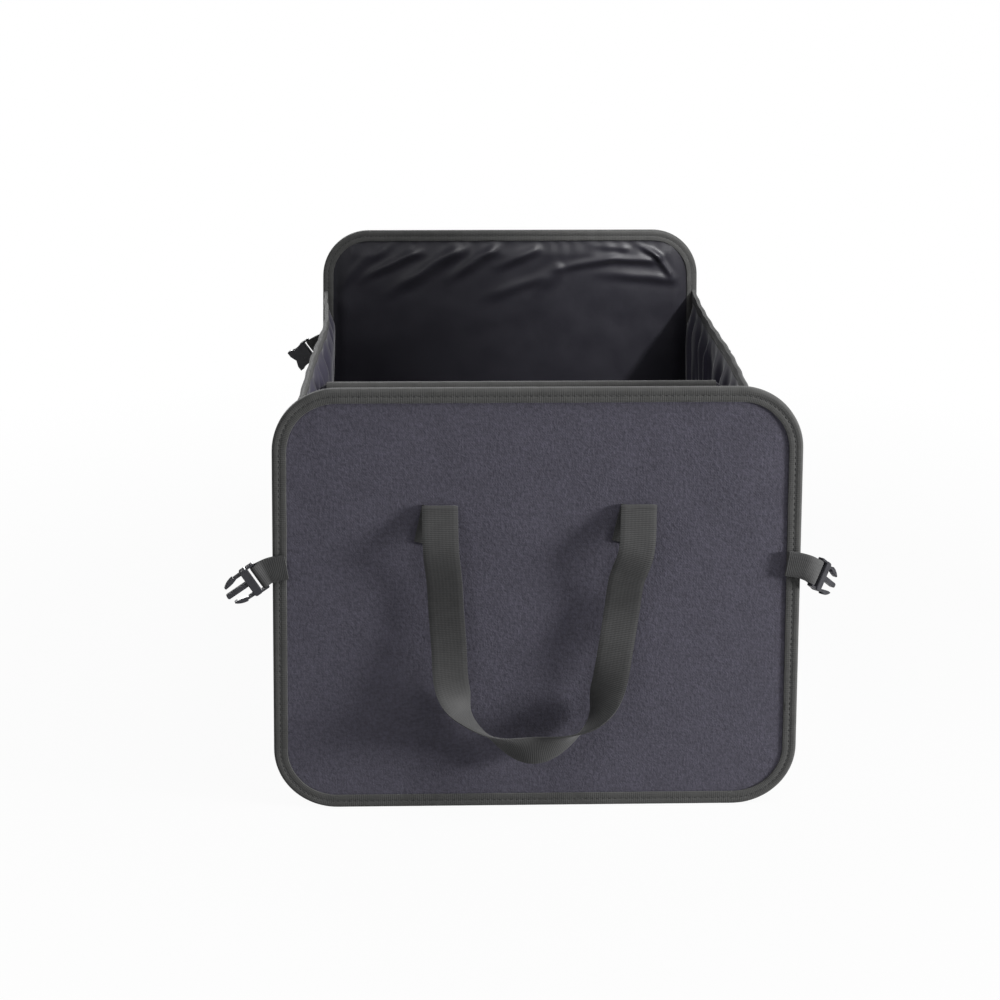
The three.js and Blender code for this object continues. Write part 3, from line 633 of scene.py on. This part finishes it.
def wall_tape(name, side, seed):
    """Tape folded over a wall's top edge, following its pleats."""
    y = np.linspace(-WALL_END, WALL_END, WALL_STATIONS)
    middle = WALL_HALF_WIDTH - WALL_THICKNESS / 2 - pleat_inset(y, np.full_like(y, WALL_HEIGHT), seed, side)
    place = np.stack([middle, y], -1)
    tangent = np.gradient(place, axis=0)
    tangent /= np.linalg.norm(tangent, axis=1)[:, None]
    normal = np.stack([tangent[:, 1], -tangent[:, 0]], -1)
    wobble = noise_at(y * 60, seed, 0.0)

    def folded(skin):
        half = WALL_THICKNESS / 2 + LAYER_GAP + skin
        low, high = -WALL_TAPE_COVER, LAYER_GAP + skin
        across = [-half, -half, -half, -0.6 * half, 0.6 * half, half, half, half]
        rise = [low, low / 2, high - 0.4 * MM, high, high, high - 0.4 * MM, low / 2, low]
        points = []
        for out, up in zip(across, rise):
            flare = 1 + 0.25 * (up <= low) * wobble
            xy = place + normal * (out * flare)[:, None]
            points.append(np.stack([side * xy[:, 0], xy[:, 1], np.full_like(y, WALL_HEIGHT + up)], -1))
        return np.stack(points, 1)

    outer = folded(TAPE_THICKNESS)
    run = np.r_[0, np.cumsum(np.linalg.norm(np.diff(place, axis=0), axis=1))]
    around = np.linspace(0, 2 * WALL_TAPE_COVER, outer.shape[1])
    uvs = np.stack(np.broadcast_arrays(run[:, None], around[None, :]), -1)
    tape = closed_cloth(f"{name}_tape", outer, folded(0.05 * MM), TAPE, uvs=uvs)
    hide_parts(f"{name}_binding")

    spots = np.arange(STITCH_PITCH, run[-1] - STITCH_PITCH / 2, STITCH_PITCH)
    thread_places, thread_ways, thread_outs = [], [], []
    offset = WALL_THICKNESS / 2 + LAYER_GAP + 0.75 * MM
    for way in (-1, 1):
        for s in spots:
            px, py = (np.interp(s, run, place[:, k]) for k in (0, 1))
            tx, ty = (np.interp(s, run, tangent[:, k]) for k in (0, 1))
            nx, ny = ty, -tx
            thread_places.append((side * (px + way * offset * nx), py + way * offset * ny,
                                  WALL_HEIGHT - 0.7 * WALL_TAPE_COVER))
            thread_ways.append((side * tx, ty, 0))
            thread_outs.append((side * way * nx, way * ny, 0))
    thread = stitches(f"{name}_tape_stitches", thread_places, thread_ways, thread_outs,
                      THREAD, STITCH_LENGTH, FINE_THREAD_RADIUS)


def floor_cloth(name, node, material, start, end, margin, low, high, relief):
    """A cloth or board that fills the box's floor between two stations."""
    y = np.linspace(start, end, 80)
    half = WALL_HALF_WIDTH - gusset_radius(y) - margin
    u = np.linspace(-1, 1, 80)
    x = u[None, :] * half[:, None]
    y = np.repeat(y[:, None], len(u), 1)
    edge = np.minimum(half[:, None] - np.abs(x), np.minimum(y - start, end - y))
    top = np.stack([x, y, high + relief(x, y, edge)], -1)
    bottom = np.stack([x, y, np.full_like(x, low)], -1)
    piece = closed_cloth(name, top, bottom, material)
    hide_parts(node)
    return piece


def add_floor():
    def lying(x, y, edge):
        return -0.15 * MM * np.abs(noise_at(x * 20, y * 20, 0.0))

    def padded_edge(x, y, edge):
        soft = smooth_step(0, 3 * MM, edge) - 1
        return 1.2 * MM * soft + 0.15 * MM * noise_at(x * 40, y * 40, 2.0) * (soft + 1) - 0.2 * MM

    sheet = floor_cloth("base_sheet", "base_cloth", GUSSET,
                        -WALL_END, WALL_END, LAYER_GAP, 0.0, BASE_TOP, lying)
    for name in ("front", "rear"):
        low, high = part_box(f"{name}_base_board")
        floor_cloth(f"{name}_base_pad", f"{name}_base_board", BASE_CLOTH,
                    low.y, high.y, 1.5 * MM, low.z, high.z, padded_edge)


# Divider

def add_divider():
    low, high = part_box("divider_cover")
    half_depth = high.y
    rows, columns = 70, 110
    z = np.linspace(low.z, high.z, rows)[:, None]
    x = np.linspace(-DIVIDER_HALF_WIDTH, DIVIDER_HALF_WIDTH, columns)[None, :]
    x, z = np.broadcast_arrays(x, z)
    corner = 6 * MM
    depth = np.maximum(np.maximum(low.z + corner - z, z - (high.z - corner)), 0)
    shrink = corner - np.sqrt(np.maximum(corner ** 2 - depth ** 2, 0))
    x = x * (DIVIDER_HALF_WIDTH - shrink) / DIVIDER_HALF_WIDTH
    edge = np.minimum(DIVIDER_HALF_WIDTH - np.abs(x), high.z - z)
    relief = 0.3 * MM * noise_at(x * 14, z * 14, 9.0) * smooth_step(2 * MM, 30 * MM, edge)
    round_off = 1.2 * MM * (1 - smooth_step(0, 3 * MM, DIVIDER_HALF_WIDTH - np.abs(x)))
    front = np.stack([x, -half_depth - relief + round_off, z], -1)
    back = np.stack([x, half_depth + relief - round_off, z], -1)
    uvs = np.stack([x, z], -1)
    cover = closed_cloth("divider_cloth", front, back, DIVIDER_CLOTH, uvs=uvs)
    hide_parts("divider_cover", "divider_board")

    tape_low, tape_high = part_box("divider_binding")
    x = np.linspace(tape_low.x, tape_high.x, 240)
    wobble = noise_at(x * 60, 3.0, 0.0)

    def folded(skin):
        half = tape_high.y - 1 * MM + skin
        top, foot = tape_high.z - 1 * MM + skin, tape_low.z
        section = [(-half, foot), (-half, (foot + top) / 2), (-half, top - 1.2 * MM),
                   (-0.75 * half, top - 0.2 * MM), (0, top), (0.75 * half, top - 0.2 * MM),
                   (half, top - 1.2 * MM), (half, (foot + top) / 2), (half, foot)]
        points = [
            np.stack([x, np.full_like(x, a), b + 0.12 * MM * wobble * (b > foot + 2 * MM)], -1)
            for a, b in section
        ]
        return np.stack(points, 1)

    outer = folded(1 * MM)
    around = np.linspace(0, 24 * MM, outer.shape[1])
    uvs = np.stack(np.broadcast_arrays(x[:, None], around[None, :]), -1)
    tape = closed_cloth("divider_tape", outer, folded(0.1 * MM), TAPE, uvs=uvs)
    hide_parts("divider_binding")
    spots = np.arange(tape_low.x + 4 * MM, tape_high.x - 3 * MM, STITCH_PITCH)
    thread = stitches(
        "divider_tape_stitches",
        [(s, side * (tape_high.y - 0.05 * MM), DIVIDER_HEIGHT - 5.5 * MM) for side in (-1, 1) for s in spots],
        [(1, 0, 0)] * (2 * len(spots)),
        [(0, side, 0) for side in (-1, 1) for _ in spots],
        THREAD, STITCH_LENGTH, FINE_THREAD_RADIUS,
    )


# Webbing

def webbing(name, points, across, width, thickness, material, body="root", lanes=9):
    """Flat webbing along points; across points from its middle to one edge."""
    along = np.gradient(points, axis=0)
    along /= np.linalg.norm(along, axis=1)[:, None]
    side = across - along * np.einsum("ij,ij->i", across, along)[:, None]
    side /= np.linalg.norm(side, axis=1)[:, None]
    up = np.cross(along, side)
    spread = np.linspace(-1, 1, lanes)
    edge = 0.5 * thickness * np.where(np.abs(spread) > 0.99, 0.45, 1.0)
    middle = points[:, None] + side[:, None] * (spread * width / 2)[None, :, None]
    lift = up[:, None] * edge[None, :, None]
    run = np.r_[0, np.cumsum(np.linalg.norm(np.diff(points, axis=0), axis=1))]
    uvs = np.stack(np.broadcast_arrays(run[:, None], (spread * width / 2)[None, :]), -1)
    return closed_cloth(name, middle + lift, middle - lift, material, uvs=uvs, body=body)


# The handle's route as across, down, out and twist shares of its span, drop, standoff and twist
HANDLE_ROUTE = [
    (-1, 0, 0, 0), (-0.99, 0.16, 0.62, -0.01), (-0.96, 0.28, 0.5, -0.04),
    (-0.945, 0.4, 0.4, -0.04), (-0.92, 0.54, 0.5, -0.01), (-0.88, 0.73, 0.64, 0.11),
    (-0.73, 0.845, 0.81, 0.49), (-0.46, 0.93, 0.88, 0.72), (-0.06, 0.98, 0.94, 1),
    (0.3, 0.94, 0.88, 0.8), (0.58, 0.85, 0.82, 0.48), (0.71, 0.73, 0.64, 0.13),
    (0.79, 0.55, 0.5, 0), (0.845, 0.4, 0.36, 0.01), (0.88, 0.28, 0.52, 0.01),
    (0.97, 0.16, 0.64, 0), (1, 0, 0, 0),
]


def catmull_rom(points, values, count):
    """Evenly spaced points on a centripetal curve through points, and values carried along it."""
    points, values = np.asarray(points, float), np.asarray(values, float)
    ends = [2 * points[0] - points[1], *points, 2 * points[-1] - points[-2]]
    held = np.r_[values[0], values, values[-1]]
    dense, carried = [], []
    for i in range(len(points) - 1):
        p, v = ends[i:i + 4], held[i:i + 4]
        t = np.r_[0, np.cumsum([np.linalg.norm(p[k + 1] - p[k]) ** 0.5 for k in range(3)])]
        for w in np.linspace(0, 1, 40, endpoint=False):
            u = t[1] + (t[2] - t[1]) * w
            a = [((t[k + 1] - u) * p[k] + (u - t[k]) * p[k + 1]) / (t[k + 1] - t[k]) for k in range(3)]
            b = [((t[k + 2] - u) * a[k] + (u - t[k]) * a[k + 1]) / (t[k + 2] - t[k]) for k in range(2)]
            dense.append(((t[2] - u) * b[0] + (u - t[1]) * b[1]) / (t[2] - t[1]))
            bend = (2 * v[0] - 5 * v[1] + 4 * v[2] - v[3]) * w ** 2
            bend += (3 * v[1] - v[0] - 3 * v[2] + v[3]) * w ** 3
            carried.append(v[1] + 0.5 * ((v[2] - v[0]) * w + bend))
    dense, carried = np.array([*dense, points[-1]]), np.array([*carried, values[-1]])
    lengths = np.r_[0, np.cumsum(np.linalg.norm(np.diff(dense, axis=0), axis=1))]
    even = np.linspace(0, lengths[-1], count)
    spaced = np.stack([np.interp(even, lengths, dense[:, k]) for k in range(3)], -1)
    return spaced, np.interp(even, lengths, carried)


def handle(name, face):
    sewn_out = LAYER_GAP + HANDLE_THICKNESS / 2
    fold_out = sewn_out + 2 * HANDLE_FOLD_RADIUS

    def place(x, out, z):
        return np.array([HANDLE_SHIFT + x, face * (COVER_FACE + out), z])

    def sewn_end(side):
        x = side * HANDLE_SPAN / 2
        points = []
        for below in np.linspace(1, 0.08, 8):
            shift = HANDLE_SEWN_SHIFT * below
            points.append(place(x - shift, sewn_out, HANDLE_FOLD_HEIGHT - HANDLE_SEWN_LENGTH * below))
        for angle in np.linspace(0, math.pi, 10, endpoint=False):
            out = sewn_out + HANDLE_FOLD_RADIUS * (1 - math.cos(angle))
            points.append(place(x, out, HANDLE_FOLD_HEIGHT + HANDLE_FOLD_RADIUS * math.sin(angle)))
        return points, [(side, 0, 0)] * len(points)

    loop, twist = catmull_rom([
        place(
            across * HANDLE_SPAN / 2,
            fold_out + out * (HANDLE_STANDOFF - fold_out),
            HANDLE_FOLD_HEIGHT - down * HANDLE_DROP,
        )
        for across, down, out, _ in HANDLE_ROUTE
    ], [math.radians(HANDLE_TWIST) * r[3] for r in HANDLE_ROUTE], 220)
    along = np.gradient(loop, axis=0)
    flat = np.stack([along[:, 2], 0 * twist, -along[:, 0]], -1)
    flat /= np.linalg.norm(flat, axis=1)[:, None]
    across = flat * np.cos(twist)[:, None]
    across[:, 1] += face * np.sin(twist)
    left, left_across = sewn_end(-1)
    right, right_across = sewn_end(1)
    points = np.array([*left, *loop, *reversed(right)])
    ways = np.array([*left_across, *across, *right_across], float)
    strap = webbing(f"{name}_webbing", points, ways, HANDLE_WEBBING, HANDLE_THICKNESS, WEBBING, lanes=13)
    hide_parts(name)


# Side, face, height, reach, droop and turn of each buckle's strap, as the frame has them
BUCKLES = [
    ("front_left", "male", -1, -1, 187 * MM, 20 * MM, 31, 15),
    ("front_right", "male", 1, -1, 187 * MM, 24 * MM, 36, -44),
    ("rear_left", "female", -1, 1, 203 * MM, 21.5 * MM, 36, 0),
    ("rear_right", "female", 1, 1, 203 * MM, 21.5 * MM, 36, 0),
]


def strap_frames(side, face, height, reach, droop, turn, steps=36):
    """Middle line of a buckle strap with its own directions, from the sewn end to the bar."""
    step = reach / steps
    half_width = float(np.interp(height, [0, PANEL_HEIGHT], [PANEL_WIDTH_FOOT, PANEL_WIDTH_TOP])) / 2
    y = face * (HALF_LENGTH + 1.5 * LAYER_GAP + STRAP_THICKNESS)
    point = np.array([side * (half_width - BINDING_COVER), y, height])
    frames = []
    for k in range(steps + 1):
        hang = float(smooth_step(STRAP_FLAT, reach, k * step))
        down = math.radians(STRAP_SLANT + (droop - STRAP_SLANT) * hang)
        out = math.radians(turn * float(smooth_step(STRAP_HOLD, reach, k * step)))
        heading = np.array([side * math.cos(out), face * math.sin(out), 0])
        along = heading * math.cos(down) - np.array([0, 0, math.sin(down)])
        across = heading * math.sin(down) + np.array([0, 0, math.cos(down)])
        frames.append((point.copy(), along, across, np.cross(across, along)))
        point = point + along * step
    return frames


def buckle_strap(name, *lie):
    frames = strap_frames(*lie)
    end_point, end_along, end_across, end_out = frames[-1]
    flat = (STRAP_THICKNESS + LAYER_GAP) / 2
    eye = BAR_RADIUS + LAYER_GAP + STRAP_THICKNESS / 2
    points, ways = [], []
    for sign, order in ((-1, frames), (1, frames[::-1])):
        if sign == 1:
            for angle in np.linspace(-math.pi / 2, math.pi / 2, 14)[1:-1]:
                points.append(end_point + eye * (math.sin(angle) * end_out + math.cos(angle) * end_along))
                ways.append(end_across)
        for point, along, across, out in order:
            place = next(i for i, f in enumerate(frames) if f[0] is point) / (len(frames) - 1)
            spread = flat + (eye - flat) * float(smooth_step(0.7, 1, place))
            points.append(point + sign * spread * out)
            ways.append(across)
    strap = webbing(f"{name}_strap_webbing", np.array(points), np.array(ways),
                    STRAP_WEBBING, STRAP_THICKNESS, WEBBING, lanes=11)
    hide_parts(f"{name}_strap")


def add_webbing():
    handle("front_handle", -1)
    handle("rear_handle", 1)
    for name, kind, *lie in BUCKLES:
        buckle_strap(name, *lie)
        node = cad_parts[f"{name}_{kind}_buckle"]
        node.data.materials.clear()
        node.data.materials.append(BUCKLE)
        node.data.polygons.foreach_set("use_smooth", [True] * len(node.data.polygons))
        node.data.set_sharp_from_angle(angle=math.radians(35))


def finish_boards():
    for name in ("front_board", "rear_board"):
        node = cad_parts[name]
        node.data.materials.clear()
        node.data.materials.append(BOARD)


# Studio

def add_camera():
    yaw, pitch, roll = (math.radians(a) for a in (CAMERA_YAW, CAMERA_PITCH, CAMERA_ROLL))
    forward = Vector((math.sin(yaw) * math.cos(pitch), math.cos(yaw) * math.cos(pitch), -math.sin(pitch)))
    level = Vector((math.cos(yaw), -math.sin(yaw), 0))
    up = level.cross(forward)
    right = level * math.cos(roll) + up * math.sin(roll)
    top = up * math.cos(roll) - level * math.sin(roll)
    turned = Matrix((right, top, -forward)).transposed().to_4x4()
    data = bpy.data.cameras.new("camera")
    data.sensor_width = 36.0
    data.lens = CAMERA_LENS
    data.clip_end = 50.0
    camera = bpy.data.objects.new("camera", data)
    camera.matrix_world = Matrix.Translation(CAMERA_PLACE) @ turned
    bpy.context.scene.collection.objects.link(camera)
    bpy.context.scene.camera = camera


def place_lamp(name, data, place, target):
    """A lamp at a place, turned to its target."""
    lamp = bpy.data.objects.new(name, data)
    lamp.location = place
    lamp.rotation_mode = "QUATERNION"
    lamp.rotation_quaternion = (Vector(target) - Vector(place)).to_track_quat("-Z", "Y")
    bpy.context.scene.collection.objects.link(lamp)


def add_soft_lamp(name, place, target, size, power):
    data = bpy.data.lights.new(name, "AREA")
    data.shape = "DISK"
    data.size = size
    data.energy = power
    place_lamp(name, data, place, target)


def add_spot(name, place, target, radius, power, cone, softness):
    data = bpy.data.lights.new(name, "SPOT")
    data.energy = power
    data.shadow_soft_size = radius
    data.spot_size = math.radians(cone)
    data.spot_blend = softness
    place_lamp(name, data, place, target)


def add_studio():
    for lamp in SOFT_LAMPS:
        add_soft_lamp(*lamp)
    for lamp in SPOT_LAMPS:
        add_spot(*lamp)

    world = bpy.data.worlds.new("studio")
    bpy.context.scene.world = world
    world.use_nodes = True
    tree = world.node_tree
    tree.nodes.clear()
    seen = tree.nodes.new("ShaderNodeBackground")
    seen.inputs[1].default_value = 1.0
    seen.inputs[0].default_value = (1, 1, 1, 1)
    around = tree.nodes.new("ShaderNodeBackground")
    around.inputs[0].default_value = AMBIENT_COLOUR
    around.inputs[1].default_value = AMBIENT_STRENGTH
    mix = tree.nodes.new("ShaderNodeMixShader")
    path = tree.nodes.new("ShaderNodeLightPath")
    out = tree.nodes.new("ShaderNodeOutputWorld")
    tree.links.new(path.outputs["Is Camera Ray"], mix.inputs[0])
    tree.links.new(around.outputs[0], mix.inputs[1])
    tree.links.new(seen.outputs[0], mix.inputs[2])
    tree.links.new(mix.outputs[0], out.inputs[0])

    graph = Graph("floor")
    graph.shader.inputs["Base Color"].default_value = FLOOR_SHADE
    graph.shader.inputs["Roughness"].default_value = 0.9
    white = graph.node("ShaderNodeEmission", {"Color": (1, 1, 1, 1), "Strength": 1.0})
    place = graph.node("ShaderNodeTexCoord", output=3)
    distance = graph.node("ShaderNodeVectorMath", {0: place}, 1, operation="LENGTH")
    away = graph.ramp(distance, *FLOOR_WHITE_SPAN, FLOOR_WHITE_NEAR, 1.0)
    seen_share = graph.math("MULTIPLY", graph.node("ShaderNodeLightPath"), away)
    mixed = graph.node("ShaderNodeMixShader", {0: seen_share, 1: graph.shader.outputs[0], 2: white})
    graph.plug(mixed, graph.tree.nodes["Material Output"].inputs[0])
    mesh = bpy.data.meshes.new("floor")
    corners = [(x * FLOOR_REACH, y * FLOOR_REACH, 0) for x, y in ((-1, -1), (1, -1), (1, 1), (-1, 1))]
    mesh.from_pydata(corners, [], [(0, 1, 2, 3)])
    mesh.materials.append(graph.material)
    floor = bpy.data.objects.new("floor", mesh)
    floor.location.z = -0.1 * MM
    bpy.context.scene.collection.objects.link(floor)
    bpy.context.scene.view_settings.view_transform = "Standard"


add_camera()
add_panels()
add_walls()
add_floor()
add_divider()
add_webbing()
finish_boards()
add_studio()
